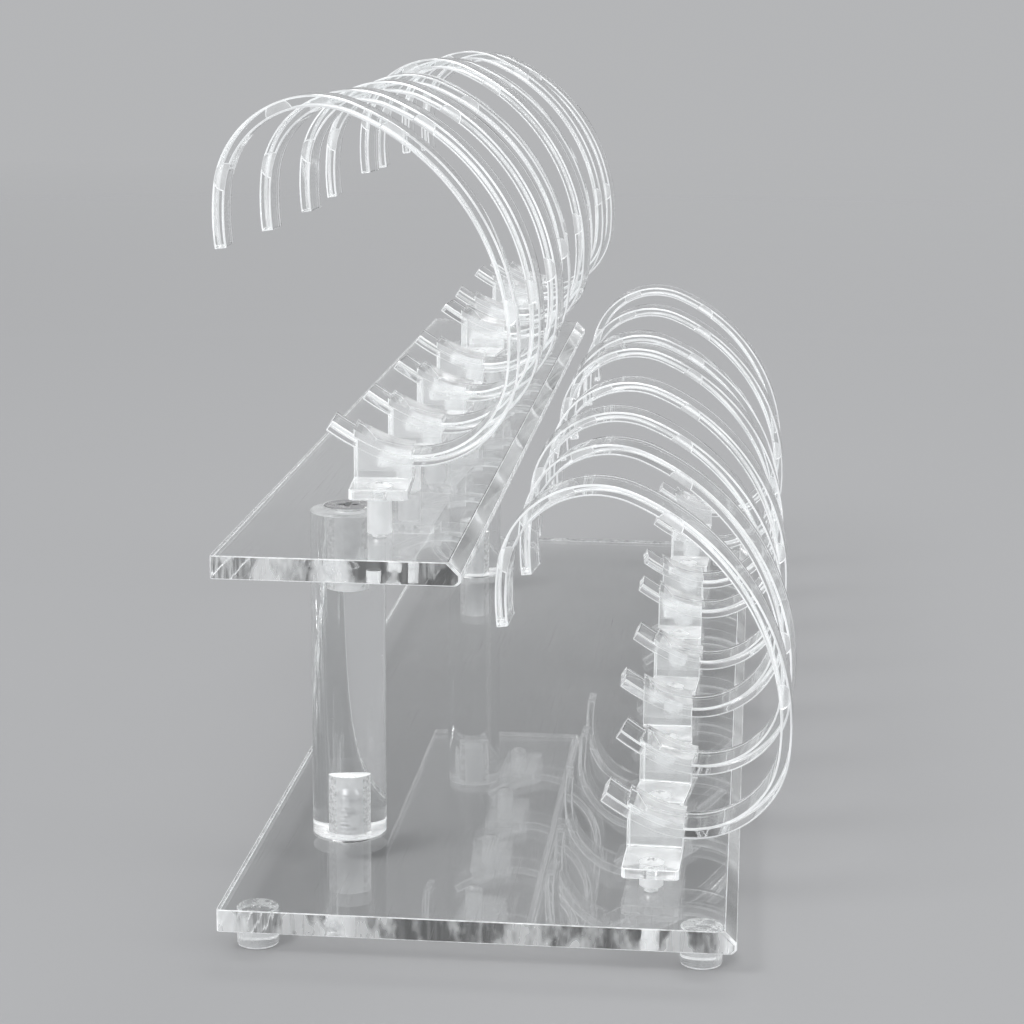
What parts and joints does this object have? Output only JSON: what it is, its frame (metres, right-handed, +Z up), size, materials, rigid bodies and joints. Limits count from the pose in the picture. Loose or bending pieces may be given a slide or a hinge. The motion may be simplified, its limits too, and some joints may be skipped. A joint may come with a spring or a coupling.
{
  "type": "acrylic jewelry rack",
  "caption": "Two-tier clear acrylic jewelry rack: long base plate on round feet, narrower plate on columns, and a row of open oval bracelet rings on each plate.",
  "frame": {"origin": "middle of the whole footprint, on the surface that the feet stand on", "axes": "+X to the closed side of the rings, +Y along the rack from its front end to its rear end, +Z up"},
  "size_m": [0.1284, 0.366, 0.1804],
  "materials": {
    "clear_sheet": "polished clear acrylic sheet",
    "clear_rod": "polished clear acrylic rod",
    "clear_moulding": "moulded clear acrylic",
    "clear_screws": "clear plastic",
    "steel_screws": "bright plated steel"
  },
  "bodies": {
    "root": {"base_plate": "clear_sheet", "upper_plate": "clear_sheet", "front_column": "clear_rod", "rear_column": "clear_rod", "foot_front_left": "clear_rod", "foot_front_right": "clear_rod", "foot_rear_left": "clear_rod", "foot_rear_right": "clear_rod", "upper_post_1": "clear_rod", "upper_post_2": "clear_rod", "upper_post_3": "clear_rod", "upper_post_4": "clear_rod", "upper_post_5": "clear_rod", "upper_post_6": "clear_rod", "upper_post_7": "clear_rod", "upper_post_8": "clear_rod", "lower_post_1": "clear_rod", "lower_post_2": "clear_rod", "lower_post_3": "clear_rod", "lower_post_4": "clear_rod", "lower_post_5": "clear_rod", "lower_post_6": "clear_rod", "lower_post_7": "clear_rod", "lower_post_8": "clear_rod", "upper_ring_1": "clear_moulding", "upper_ring_2": "clear_moulding", "upper_ring_3": "clear_moulding", "upper_ring_4": "clear_moulding", "upper_ring_5": "clear_moulding", "upper_ring_6": "clear_moulding", "upper_ring_7": "clear_moulding", "upper_ring_8": "clear_moulding", "lower_ring_1": "clear_moulding", "lower_ring_2": "clear_moulding", "lower_ring_3": "clear_moulding", "lower_ring_4": "clear_moulding", "lower_ring_5": "clear_moulding", "lower_ring_6": "clear_moulding", "lower_ring_7": "clear_moulding", "lower_ring_8": "clear_moulding", "upper_ring_screws": "clear_screws", "lower_ring_screws": "clear_screws", "column_top_screws": "steel_screws", "column_base_screws": "steel_screws"}
  },
  "joints": []
}
